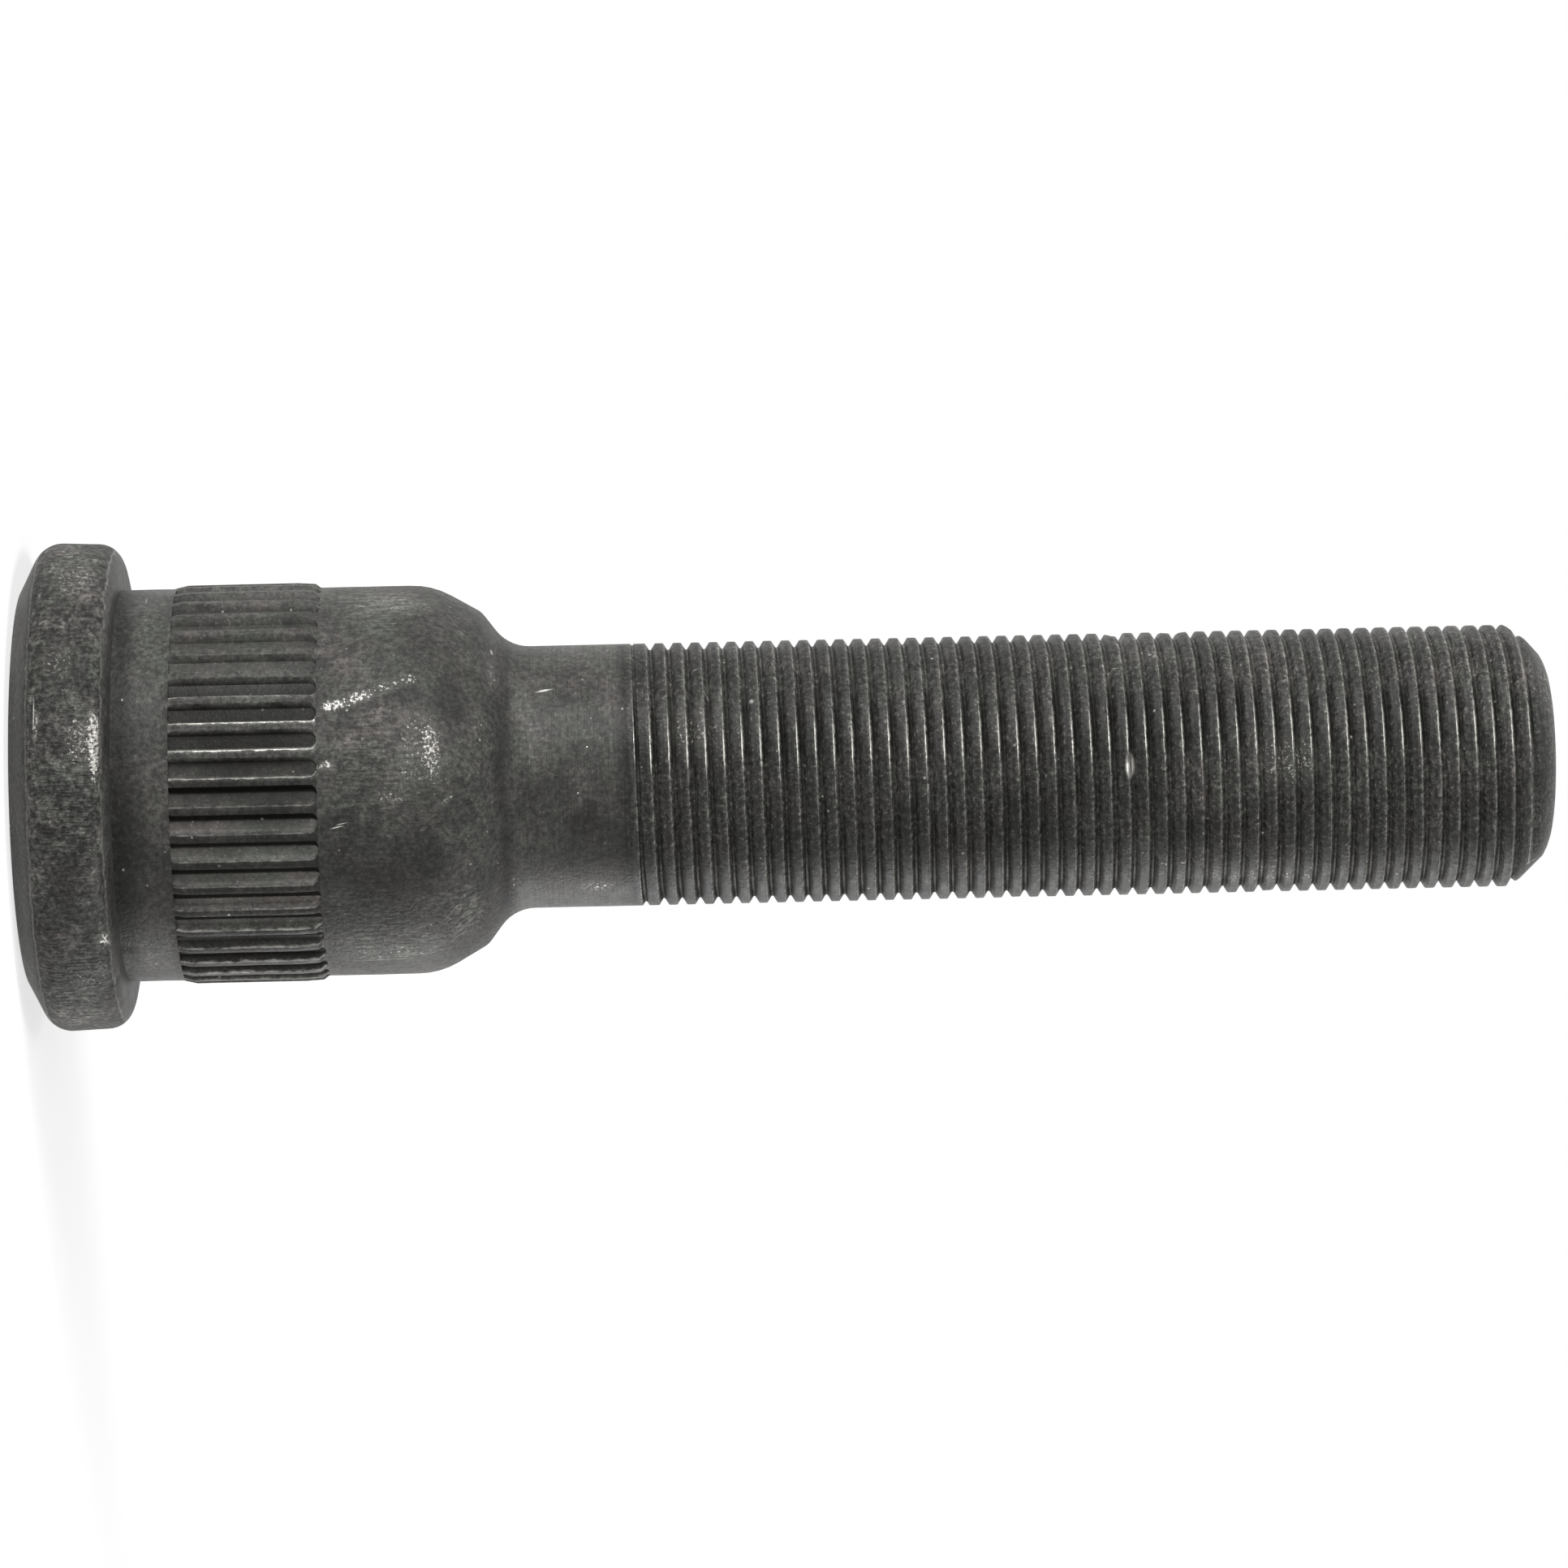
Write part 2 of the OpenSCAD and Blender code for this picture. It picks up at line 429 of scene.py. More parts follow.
# What each row shows of the worn edge with its painted highlight, the crest flat with its painted shade
# and the hollow's painted shade
THREAD_MARKS = {
    "crest_edge": [0.0, 0.4, 1.0, 0.0, 0.0, 0.0, 0.15, 0.2, 0.0],
    "crest_flat": [1.0, 0.5, 0.0, 0.0, 0.0, 0.0, 0.6, 0.9, 1.0],
    "hollow": [0.0, 0.0, 0.5, 1.0, 1.0, 0.7, 0.3, 0.0, 0.0],
}


def thread_tree():
    """Winds the groove's section into a helix that starts shallow."""
    tree, given = shape_tree(
        "rolled_thread", Crest_Radius="Float", Pitch="Float", Groove_Depth="Float",
        Root_Width="Float", Flank_Angle="Float", Edge_Round="Float", Run_Out_Turns="Float",
        Start_Height="Float", Start_Angle="Float", Turns="Float", Steps_Per_Turn="Int",
    )
    steps, depth, edge = given["Steps Per Turn"], given["Groove Depth"], given["Edge Round"]
    grid, row, column = grid_rows_and_columns(given["Turns"] * steps + 1.0, THREAD_ROWS)
    turn = column / steps
    fullness = most(calc("MINIMUM", 1.0, turn / given["Run Out Turns"]), LEAST_GROOVE)
    from_root = row - float(THREAD_ROWS // 2)
    side, step = calc("SIGN", from_root), calc("ABSOLUTE", from_root)
    half_root, half_pitch = given["Root Width"] / 2.0, given["Pitch"] / 2.0
    flank = depth * calc("TANGENT", given["Flank Angle"] / 2.0)
    fixed = pick(step, [0.0, half_root, half_root, half_root + edge, half_pitch])
    growing = pick(step, [0.0, 0.0, flank, flank, 0.0])
    sunk = pick(step, [depth * ROOT_BOW, depth, edge * 0.5, 0.0, 0.0])
    offset = side * growing.line(fullness, fixed)
    centre = given["Pitch"].line(turn, given["Start Height"])
    around = turn.line(math.tau, given["Start Angle"])
    point = polar(given["Crest Radius"] - sunk * fullness, around, centre + offset)
    moved = put(tree, "GeometryNodeSetPosition", grid, None, point)
    for label, values in THREAD_MARKS.items():
        moved = put(
            tree, "GeometryNodeStoreNamedAttribute", moved, None, label, pick(row, values),
            data_type="FLOAT", domain="POINT",
        )
    return close_tree(moved, given["Material"])


def apply_tree(obj, tree, values):
    """Runs a tree on an object and leaves its result as a plain mesh."""
    modifier = obj.modifiers.new(tree.name, "NODES")
    modifier.node_group = tree
    for item in tree.interface.items_tree:
        if item.item_type == "SOCKET" and item.in_out == "INPUT" and item.name in values:
            modifier[item.identifier] = values[item.name]
    evaluated = obj.evaluated_get(bpy.context.evaluated_depsgraph_get())
    mesh = bpy.data.meshes.new_from_object(evaluated)
    obj.modifiers.remove(modifier)
    obj.data = mesh


def add_object(name, vertices, edges=(), faces=()):
    """A new mesh object in the scene."""
    mesh = bpy.data.meshes.new(name)
    mesh.from_pydata([tuple(map(float, v)) for v in vertices], list(edges), list(faces))
    obj = bpy.data.objects.new(name, mesh)
    bpy.context.scene.collection.objects.link(obj)
    return obj


def turn_section(name, points, columns, zone):
    """Revolves points of a section into a surface."""
    vertices = [(r, 0, z) for r, z in points]
    edges = [(i, i + 1) for i in range(len(points) - 1)]
    obj = add_object(name, vertices, edges)
    values = {"Columns": columns, "Material": coat_material(zone)}
    apply_tree(obj, bpy.data.node_groups.get("turned_surface") or turned_tree(), values)


# Coat material

# Zones of the coat from the head up, which differ only in the marks that they hold
ZONES = ("head", "body", "thread")


def coat_material(zone):
    """A zone's coat, made once and built up by its own operator."""
    name = "phosphated_steel_" + zone
    return bpy.data.materials.get(name) or bpy.data.materials.new(name)


def zone_limits():
    """Lowest and highest height of each zone."""
    h = Heights()
    ends = (-1.0, h.rib_start - JOIN_GAP / 2, h.fillet_end + 0.75 * MM, 1.0)
    return {zone: ends[i:i + 2] for i, zone in enumerate(ZONES)}


def mix_colour(tree, factor, a, b, blend="MIX"):
    """A mix of two colours."""
    a, b = (c if isinstance(c, Value) else (*c, 1.0) for c in (a, b))
    made = put(
        tree, "ShaderNodeMix", named={0: factor, 6: a, 7: b}, data_type="RGBA", blend_type=blend,
    )
    return made.output(2)


def grain(coordinates, per_metre, detail=3.0, rough=0.6, stretch=None):
    """Noise at that scale in the object's own coordinates."""
    tree = coordinates.tree
    if stretch:
        coordinates = put(tree, "ShaderNodeVectorMath", coordinates, stretch, operation="MULTIPLY")
    return put(tree, "ShaderNodeTexNoise", coordinates, None, per_metre, detail, rough)


def attribute(tree, name):
    """A float that the mesh holds."""
    return put(tree, "ShaderNodeAttribute", attribute_name=name).output("Fac")


def clear_tree(owner):
    """The node tree of a material or a world, made empty."""
    owner.use_nodes = True
    owner.node_tree.nodes.clear()
    return owner.node_tree


def object_coordinates(tree):
    """Places in the object's own coordinates."""
    return put(tree, "ShaderNodeTexCoord").output("Object")


def distance(place):
    """How far a place is from the origin."""
    return put(place.tree, "ShaderNodeVectorMath", place, operation="LENGTH").output("Value")


class Mark:
    """A mark on the surface: where it is, how far it reaches and how strong it is."""

    def __init__(self, turn, height, radius, along, across, strength, tilt=0.0):
        turn, lean = math.radians(turn) + VIEW_TURN, math.radians(tilt)
        cos, sin = math.cos(turn), math.sin(turn)
        self.place = Vector((radius * MM * cos, radius * MM * sin, height * MM))
        outward, around = Vector((cos, sin, 0)), Vector((-sin, cos, 0))
        length_way = math.cos(lean) * Vector((0, 0, 1)) - math.sin(lean) * around
        width_way = outward.cross(length_way)
        self.rotation = Matrix((length_way, width_way, outward)).transposed().to_euler()
        self.reach = (along * MM, across * MM, MARK_DEPTH)
        self.strength = strength


# How far off the surface a mark still shows
MARK_DEPTH = 1.6 * MM


def mark_rows(*rows):
    """Marks, each from its turn, height, radius there, half sizes, strength and tilt if any."""
    return [Mark(*row) for row in rows]


# Rubbed patches, where only the tops of the rough coat are bright
RUBS = mark_rows(
    (259.9, 7.3, 20.0, 0.9, 5.2, 1.25), (259.3, 6.2, 20.1, 2.4, 4.6, 0.66),
    (290.0, 6.9, 20.1, 0.8, 3.6, 0.5), (261.8, 34.15, 16.1, 1.5, 5.4, 0.9),
    (262.5, 33.4, 16.1, 4.2, 6.4, 0.56), (247.6, 26.4, 16.17, 1.9, 0.8, 1.15, 14),
    (245.4, 28.2, 16.17, 2.6, 0.85, 0.95, 24), (241.8, 30.6, 16.17, 2.6, 1.0, 0.66, 20),
    (239.6, 32.4, 16.1, 1.6, 0.8, 0.6, 10), (265.4, 25.6, 16.17, 1.1, 0.55, 1.0, 20),
    (275.1, 30.66, 16.17, 2.4, 0.8, 0.7, -12), (227.0, 38.95, 13.0, 0.45, 2.8, 0.66),
    (276.0, 35.4, 15.6, 1.8, 0.6, 0.66, 45), (255.3, 2.6, 20.2, 0.4, 2.4, 0.8),
    (308.9, 7.4, 19.9, 0.9, 1.2, 0.95, 20), (270.2, 104.1, 10.9, 4.4, 4.0, 0.62),
    (215.4, 94.2, 10.9, 4.0, 2.2, 0.55), (312.0, 91.9, 10.9, 2.0, 2.6, 0.5),
    (330.0, 102.0, 10.9, 12.0, 2.2, 0.55), (250.0, 56.0, 10.9, 6.0, 4.0, 0.5),
    (322.0, 6.2, 20.2, 3.2, 3.0, 0.56), (212.0, 5.2, 20.3, 3.4, 5.0, 0.6),
    (326.9, 47.1, 10.9, 2.4, 1.4, 0.66), (240.0, 4.4, 20.3, 2.6, 3.0, 0.52),
    (332.0, 30.0, 16.17, 7.0, 3.0, 0.56), (206.0, 31.0, 16.17, 6.0, 2.6, 0.5),
)

# Scratches and chips down to bare metal
SCRATCHES = mark_rows(
    (229.8, 43.2, 10.9, 0.95, 0.17, 1.0, 12), (270.8, 91.0, 10.95, 0.5, 1.35, 1.4),
    (224.1, 89.8, 10.95, 0.7, 0.09, 0.8, 4), (283.4, 26.4, 16.17, 0.75, 0.09, 0.9, 12),
    (282.4, 26.8, 16.17, 0.65, 0.08, 0.75, 12), (214.7, 38.92, 13.0, 0.16, 0.5, 0.8),
    (309.4, 7.5, 19.9, 0.15, 1.2, 0.8, 20), (253.0, 2.45, 20.3, 0.1, 2.0, 0.85),
    (321.7, 40.34, 11.3, 0.14, 0.14, 1.0), (277.4, 45.85, 10.9, 0.14, 0.13, 0.9),
    (257.5, 46.66, 10.9, 0.13, 0.12, 0.9), (244.6, 47.03, 10.9, 0.12, 0.11, 0.6),
    (318.4, 36.5, 15.0, 2.2, 0.09, 0.45, 38), (322.0, 37.2, 14.6, 1.9, 0.09, 0.45, 34),
    (325.5, 36.2, 15.0, 2.1, 0.09, 0.45, 30), (201.0, 10.6, 16.3, 0.1, 1.0, 0.45),
    (316.0, 35.2, 15.6, 1.7, 0.08, 0.4, 42), (329.0, 35.6, 15.2, 1.8, 0.08, 0.45, 26),
    (233.0, 56.5, 10.9, 0.09, 0.8, 0.5, 25), (219.0, 55.6, 10.9, 0.5, 0.08, 0.45, 40),
    (329.5, 30.6, 16.17, 3.2, 0.09, 0.4, 4), (333.0, 32.2, 16.17, 2.6, 0.09, 0.4, -3),
    (336.5, 28.8, 16.17, 3.0, 0.09, 0.4, 5), (238.0, 60.2, 10.9, 0.3, 0.3, 0.5),
)

# Pale places with streaks
PALES = mark_rows(
    (216.2, 36.6, 15.0, 0.8, 0.7, 0.8), (330.0, 9.8, 16.3, 3.0, 5.0, 0.7),
    (327.1, 30.4, 16.17, 6.0, 4.2, 1.25), (262.0, 29.6, 16.17, 4.6, 6.4, 0.5),
    (205.0, 30.0, 16.17, 7.0, 4.0, 0.6), (318.0, 37.0, 14.8, 3.6, 4.4, 1.4),
    (204.0, 4.6, 20.3, 3.6, 5.0, 0.6), (335.0, 4.6, 20.3, 3.6, 5.0, 0.6),
    (255.0, 42.0, 11.2, 2.0, 7.0, 0.4), (208.0, 10.6, 16.3, 2.4, 3.6, 0.5),
)

# Dark stains
STAINS = mark_rows(
    (294.1, 33.8, 16.1, 3.0, 4.6, 0.85), (300.3, 29.8, 16.17, 4.6, 2.6, 0.7),
    (246.0, 35.8, 15.2, 2.2, 2.8, 0.6), (280.0, 10.0, 16.3, 1.8, 7.0, 0.6),
    (292.0, 46.5, 10.9, 3.0, 2.2, 0.5), (318.0, 4.2, 20.3, 2.4, 3.4, 0.5),
    (238.0, 5.0, 20.3, 2.6, 4.0, 0.5), (292.0, 4.6, 20.3, 2.4, 5.0, 0.4),
    (270.0, 39.6, 12.4, 0.9, 6.4, 0.9), (245.0, 32.2, 16.17, 1.6, 1.6, 0.5),
    (296.0, 26.6, 16.17, 1.4, 3.0, 0.5),
)


def mark_group():
    """A group that shows how strong one mark is at a point."""
    vectors = dict.fromkeys(("Position", "Place", "Rotation", "Reach"), "Vector")
    group, given = new_tree("Shader", "surface_mark", {**vectors, "Strength": "Float"}, "Float")
    places = [given[name] for name in vectors]
    far = distance(put(group, "ShaderNodeMapping", *places, vector_type="TEXTURE"))
    put(group, "NodeGroupOutput", far.ramp(1.0, 0.25) * given["Strength"])
    return group


def marks_mask(coordinates, marks, limits):
    """The strongest of the marks that reach between two heights, at each point."""
    group = bpy.data.node_groups.get("surface_mark") or mark_group()
    strongest = None
    for mark in marks:
        reach = max(mark.reach[:2])
        if mark.place.z + reach < limits[0] or mark.place.z - reach > limits[1]:
            continue
        this = put(
            coordinates.tree, "ShaderNodeGroup", coordinates, mark.place, mark.rotation,
            mark.reach, mark.strength, node_tree=group,
        )
        strongest = most(strongest, this) if strongest else this
    return strongest


# Grain of the coat: scale in a metre, detail, roughness and, if any, its stretch along each axis
GRAINS = {
    "blotch": (620.0, 4.0, 0.65),
    "speckle": (2300.0, 3.0, 0.65),
    "flecks": (4300.0, 2.0, 0.6),
    "along": (1.0, 3.0, 0.6, (3600.0, 3600.0, 620.0)),
    "around": (1.0, 2.0, 0.6, (260.0, 260.0, 7000.0)),
    "chips": (1.0, 4.0, 0.7, (2600.0, 2600.0, 1100.0)),
}
# Layers of the coat's shade: the zone that each lies on, the grain that it follows, the range of
# that grain and the shade at both ends
SHADE_LAYERS = (
    ("forged", "along", 0.4, 0.64, 0.8, 1.4),
    ("whole", "flecks", 0.56, 0.72, 0.94, 1.7),
    ("threaded", "flecks", 0.5, 0.66, 0.86, 1.5),
    ("machined", "around", 0.3, 0.7, 0.8, 1.2),
)
# Levels of the coat: the range of the grain or mark that each follows and, unless they are 0 and 1,
# what it gives at both ends
LEVELS = {
    "blotches": (0.34, 0.66, 0.74, 1.28),
    "speckles": (0.34, 0.68, 0.5, 1.55),
    "head clouds": (0.4, 0.6, 0.72, 1.22),
    "clouds": (0.36, 0.64, 0.76, 1.26),
    "pale streaks": (0.42, 0.62, 0.25, 1.5),
    "stain patches": (0.35, 0.6, 0.5, 1.0),
    "crest shade": (0.0, 1.0, 0.6, 0.72),
    "lit chips": (0.36, 0.62, 0.5, 1.5),
    "rough tops": (0.7, 0.9),
    "rub border": (0.0, 0.25),
    "rub strength": (0.0, 1.0, 0.3, 0.9),
    "rubbed edges": (1.42, 1.85),
    "line chips": (0.35, 0.6, 0.25, 1.0),
    "chosen specks": (0.62, 0.95),
    "speck size": (0.12, 0.05),
    "warm patches": (0.42, 0.6),
    "rib shadow": (0.4, 0.8, 0.0, 0.92),
    "bare shine": (0.2, 1.0, 0.0, 0.8),
}
# How much lighter, or darker where less than 0, each of these makes the coat at its full strength
TINTS = {
    "pales": 0.9, "stains": -0.6, "corners": -0.62, "flats": -1.0, "rib_top_shade": -0.6, "floor_sheen": 2.8,
    "lit edges": 1.6, "lit tip edges": 0.5, "tip": 0.24,
}


def coat_fields(tree):
    """What the coat varies with: zones along the stud, grain of each size and the mesh's marks."""
    s, h = sizes(), Heights()
    coords = object_coordinates(tree)
    up = put(tree, "ShaderNodeSeparateXYZ", coords).output("Z")
    f = SimpleNamespace(tree=tree, coords=coords, up=up)
    f.chamfer_edge, f.rim_edge = s.back_chamfer_h - 0.2 * MM, s.head_h - 0.5 * MM
    f.head_side = up.band(f.chamfer_edge, f.rim_edge, 0.15 * MM)
    body = up.band(h.rib_end + 0.6 * MM, h.foot[1] - MM, MM)
    f.machined = up.ramp(h.foot[1] - MM, h.foot[1] + MM)
    f.threaded = up.ramp(h.thread_start - MM, h.thread_start + MM)
    f.pressed = attribute(tree, "pressed")
    f.forged = most(f.head_side, body * 0.6)
    for name, values in GRAINS.items():
        setattr(f, name, grain(coords, *values))
    f.facing = attribute(tree, "facing")
    f.edges = most(attribute(tree, "crest_edge"), attribute(tree, "rib_edge"))
    return f


def coat_shade(f, limits):
    """How light the coat is: clouds to flecks and marks, painted shade, sheen and edge highlights."""
    s, h = sizes(), Heights()
    shade = (f.threaded * 0.6).mix(f.blotch.level("blotches"), 1.0)
    shade *= f.speckle.level("speckles")
    rough = f.machined.line(-0.1, f.head_side.line(0.7, 0.8))
    rough = f.pressed.line(-0.5, f.threaded.line(0.5, rough))
    shade = calc("POWER", shade, rough)
    shade *= f.head_side.mix(1.0, grain(f.coords, 340.0).level("head clouds"))
    shade *= grain(f.coords, 130.0).level("clouds")
    for zone, name, *levels in SHADE_LAYERS:
        layer = getattr(f, name).ramp(*levels)
        shade *= layer if zone == "whole" else getattr(f, zone).mix(1.0, layer)
    pales = marks_mask(f.coords, PALES, limits) * f.along.level("pale streaks")
    shade *= pales.tint("pales")
    stains = marks_mask(f.coords, STAINS, limits) * f.blotch.level("stain patches")
    shade *= stains.tint("stains")
    # Painted shade in the concave corner under the head and at the waist above the shank
    corner = f.up.band(f.rim_edge + 0.3 * MM, s.head_h + 1.6 * MM, 0.8 * MM)
    waist_shade = f.up.band(h.foot[1] - 0.8 * MM, h.foot[1] + 0.1 * MM, 0.6 * MM)
    shade *= most(corner, waist_shade * 0.85).tint("corners")
    # Painted shade on the crest flats
    flats = attribute(f.tree, "crest_flat") * f.facing.level("crest shade")
    shade *= flats.tint("flats")
    # Painted shade on the rib tops and a painted sheen on the pressed floors
    for name in ("rib_top_shade", "floor_sheen"):
        shade *= attribute(f.tree, name).tint(name)
    tipward = f.up.ramp(h.thread_start + 22 * MM, h.tip_start)
    # Painted highlights on the rib and crest edges, strongest on the rubbed side and towards the tip
    lit = f.edges * most(f.facing, f.threaded * 0.7)
    lit *= f.chips.level("lit chips")
    lit *= tipward.tint("lit tip edges")
    return shade * lit.tint("lit edges") * tipward.tint("tip")


def bare_steel(f, scratches, limits):
    """Where steel shows: rubbed tops of the rough coat, rubbed edges, scratches and specks."""
    rub = marks_mask(f.coords, RUBS, limits)
    tops = rub.line(0.3, f.flecks).level("rough tops") * rub.level("rub border")
    tops = most(tops * rub.level("rub strength"), rub * 0.1)
    wide = f.facing.line(0.26, f.chips.line(1.3, f.edges))
    edge_rub = wide.level("rubbed edges") * most(f.facing.line(0.66, 0.26), f.threaded * 0.42)
    wobble = f.blotch.line(0.5 * MM, f.up)
    for level in (f.chamfer_edge, f.rim_edge):
        near_line = calc("ABSOLUTE", wobble - (level + 0.25 * MM))
        line = near_line.ramp(0.12 * MM, 0.02 * MM, 0.0, 0.42)
        edge_rub = most(edge_rub, line * f.chips.level("line chips"))
    dots = put(f.tree, "ShaderNodeTexVoronoi", named={"Vector": f.coords, "Scale": 800.0})
    some = put(f.tree, "ShaderNodeSeparateColor", dots.output("Color")).level("chosen specks")
    specks = dots.level("speck size") * some
    return most(tops, edge_rub, scratches, specks * 0.6)


def coat_relief(f, scratches, depth):
    """The coat's pits, forging marks and turning rings."""
    pits = (f.along * f.head_side.line(1.2, 1.0) + f.speckle) * f.forged
    height = pits.line(0.8, f.flecks.line(0.15, f.speckle * 0.3)) + f.around * f.machined * 0.12
    height = scratches.line(-0.8, height)
    return put(
        f.tree, "ShaderNodeBump", named={"Strength": 1.0, "Distance": depth, "Height": height},
    )


def build_coat(zone, limits):
    """The phosphate coat of a zone, with its stains, rubs, scratches, specks, painted shade and
    highlights.
    """
    finish = bpy.context.scene.stud_finish
    tree = clear_tree(coat_material(zone))
    f = coat_fields(tree)
    patches = grain(f.coords, 210.0, 4.0).level("warm patches")
    coat = mix_colour(tree, patches, finish.coat_cool, finish.coat_warm)
    coat = mix_colour(tree, 1.0, coat, coat_shade(f, limits), "MULTIPLY")
    # Painted shadow beside each rib, mixed towards the painted shade colour
    rib_shadow = attribute(tree, "rib_shadow").level("rib shadow")
    # Painted shade in the thread's grooves and on the pressed floors, joined by the painted shadow
    # beside the ribs
    hollow = most(attribute(tree, "hollow") * f.threaded.line(0.08, 0.85), rib_shadow)
    coat = mix_colour(tree, hollow, coat, finish.painted_shade_colour)
    scratches = marks_mask(f.coords, SCRATCHES, limits)
    worn = bare_steel(f, scratches, limits)
    rough = f.blotch.ramp(0.3, 0.7, finish.coat_roughness - 0.05, finish.coat_roughness + 0.07)
    rough = f.forged.line(0.08, f.pressed.line(-0.12, rough))
    shader = put(tree, "ShaderNodeBsdfPrincipled", named={
        "Base Color": mix_colour(tree, worn, coat, finish.bare_metal),
        "Metallic": worn.level("bare shine"),
        "Roughness": worn.mix(rough, finish.bare_roughness),
        "Specular IOR Level": hollow.mix(finish.coat_shine, 0.0),
        "Normal": coat_relief(f, scratches, finish.pit_depth),
    })
    put(tree, "ShaderNodeOutputMaterial", shader)


# Pieces of the surface

def blank_columns():
    """Columns round the head and the body."""
    return sizes().rib_count * COLUMNS_PER_RIB


def thread_columns():
    """Columns round the shank and the thread."""
    return blank_columns() // THREAD_COLUMNS_SHARE


# Share of the tip over which the thread still shows
CHAMFER_THREAD = 0.75
# Shares of the tip's length at which its groove ends and its plain surface begins
LAST_GROOVE_SHARE = 0.46
PLAIN_TIP_SHARE = 0.74
# How far the plain surfaces keep from the pressed band, for the rows that join them
JOIN_GAP = 0.3 * MM


def tip_section():
    """Points of the tip's section, from the end of the thread to the axis."""
    s, h = sizes(), Heights()
    return section([
        (h.thread_r, h.tip_start, 0), (h.end_r, h.tip_end, s.tip_round_r), (0, h.tip_end, 0),
    ])


class STUD_OT_forge_head(bpy.types.Operator):
    """Turn the head and the neck"""
    bl_idname = "stud.forge_head"
    bl_label = "Forge Head"

    def execute(self, context):
        s, h = sizes(), Heights()
        corners = [
            (0, 0, 0), (h.back_r, 0, 0.35 * MM),
            (h.head_r, s.back_chamfer_h, s.back_round_r),
            (h.head_r - s.head_draft, s.head_h, s.bearing_round_r),
            (h.neck_r, s.head_h, 0), (h.neck_r, h.rib_start - JOIN_GAP, 0),
        ]
        turn_section("head_surface", section(corners), blank_columns(), "head")
        return {"FINISHED"}


class STUD_OT_forge_body(bpy.types.Operator):
    """Turn the body, the shoulder, the shank and the tip"""
    bl_idname = "stud.forge_body"
    bl_label = "Forge Body"

    def execute(self, context):
        s, h = sizes(), Heights()
        shank_low = h.fillet_end + 0.5 * MM
        corners = [
            (h.body_r, h.floor_end + 2 * JOIN_GAP, 0),
            (*h.cone_start, s.shoulder_round_r), (*h.cone_end, s.waist_round_r),
            (*h.foot, s.fillet_r), (h.thread_r, shank_low, 0),
        ]
        turn_section("body_surface", section(corners), blank_columns(), "body")
        shank = [
            (h.thread_r, shank_low + 0.5 * MM, 0),
            (h.thread_r, h.thread_start - s.pitch / 2 - 0.5 * MM, 0),
        ]
        turn_section("shank_surface", section(shank), thread_columns(), "thread")
        tip = [p for p in tip_section() if p[1] > h.tip_start + s.tip_len * PLAIN_TIP_SHARE]
        turn_section("tip_surface", tip, thread_columns(), "thread")
        return {"FINISHED"}


# Rows of a floor where its ribs rise, where they are level and, as turns, in its round corners
RISING_ROWS = 4
LEVEL_ROWS = 8
CORNER_TURNS = (0.4, 0.75, 1.1, 1.4)
# Inset of the floor's last row, as a share of its corner radius
LAST_INSET_SHARE = 0.83
# Columns of a floor and its half ribs that each mark lies on, with its strength there
FLOOR_MARKS = {
    # The edge mark carries a painted highlight as well as wear, strongest on one edge of each rib
    "rib_edge": {1: 0.3, 2: 0.4, 6: 1.0, 7: 0.8},
    "pressed": {3: 1.0, 4: 1.0, 5: 1.0},
    # Painted shadow beside each rib, on its flank and the floor's edge
    "rib_shadow": {2: 0.8, 3: 1.0, 4: 0.25},
    "rib_top": {0: 1.0, 1: 1.0, 6: 0.5, 7: 0.8, 8: 1.0},
}


# Width of the step at a floor's edge
FLOOR_EDGE = 0.05 * MM


def rib_crest(z):
    """Radius of the ribs at that height."""
    s, h = sizes(), Heights()
    blank = h.neck_r if z < (h.rib_start + h.rib_end) / 2 else h.body_r
    rise = (z - h.rib_start) / s.rib_lead_in
    fall = (h.rib_end - z) / s.rib_lead_out
    return blank + (h.rib_r - blank) * max(0.0, min(1.0, rise, fall))


def floor_row(z, inset, pressed):
    """One row over a floor and its half ribs: turn, radius and height of each column."""
    s, h = sizes(), Heights()
    half_sector = math.pi / s.rib_count
    side, crest = h.rib_r * half_sector, rib_crest(z)
    top = h.rib_r * math.sin(half_sector) - s.rib_w / 2 - inset
    low = max(top - s.rib_flank_w, 0.25 * top)
    floor = h.floor_r if pressed else crest
    shoulder = crest - (FLOOR_EDGE * 0.5 if pressed else 0)
    across = [-side, -top - FLOOR_EDGE, -top, -low, 0, low, top, top + FLOOR_EDGE, side]
    radii = [crest, crest, shoulder, floor, floor, floor, shoulder, crest, crest]
    return [(a / h.rib_r, r, z) for a, r in zip(across, radii)]


def floor_rows():
    """Rows of one floor, from its square end to its round corners."""
    s, h = sizes(), Heights()
    risen, corner_r = h.rib_start + s.rib_lead_in, s.floor_corner_r
    corner_start = h.floor_end - corner_r
    rising = np.linspace(h.floor_start + FLOOR_EDGE, risen, RISING_ROWS)
    level = np.linspace(risen, corner_start, LEVEL_ROWS)
    rows = [floor_row(h.rib_start, 0, False), floor_row(h.floor_start, 0, False)]
    rows += [floor_row(z, 0, True) for z in (*rising, *level[1:])]
    for t in CORNER_TURNS:
        inset = corner_r * (1 - math.cos(t))
        rows.append(floor_row(corner_start + (corner_r - FLOOR_EDGE) * math.sin(t), inset, True))
    rows.append(floor_row(h.floor_end, corner_r * LAST_INSET_SHARE, False))
    rows.append(floor_row(h.floor_end + JOIN_GAP, 0, False))
    return rows


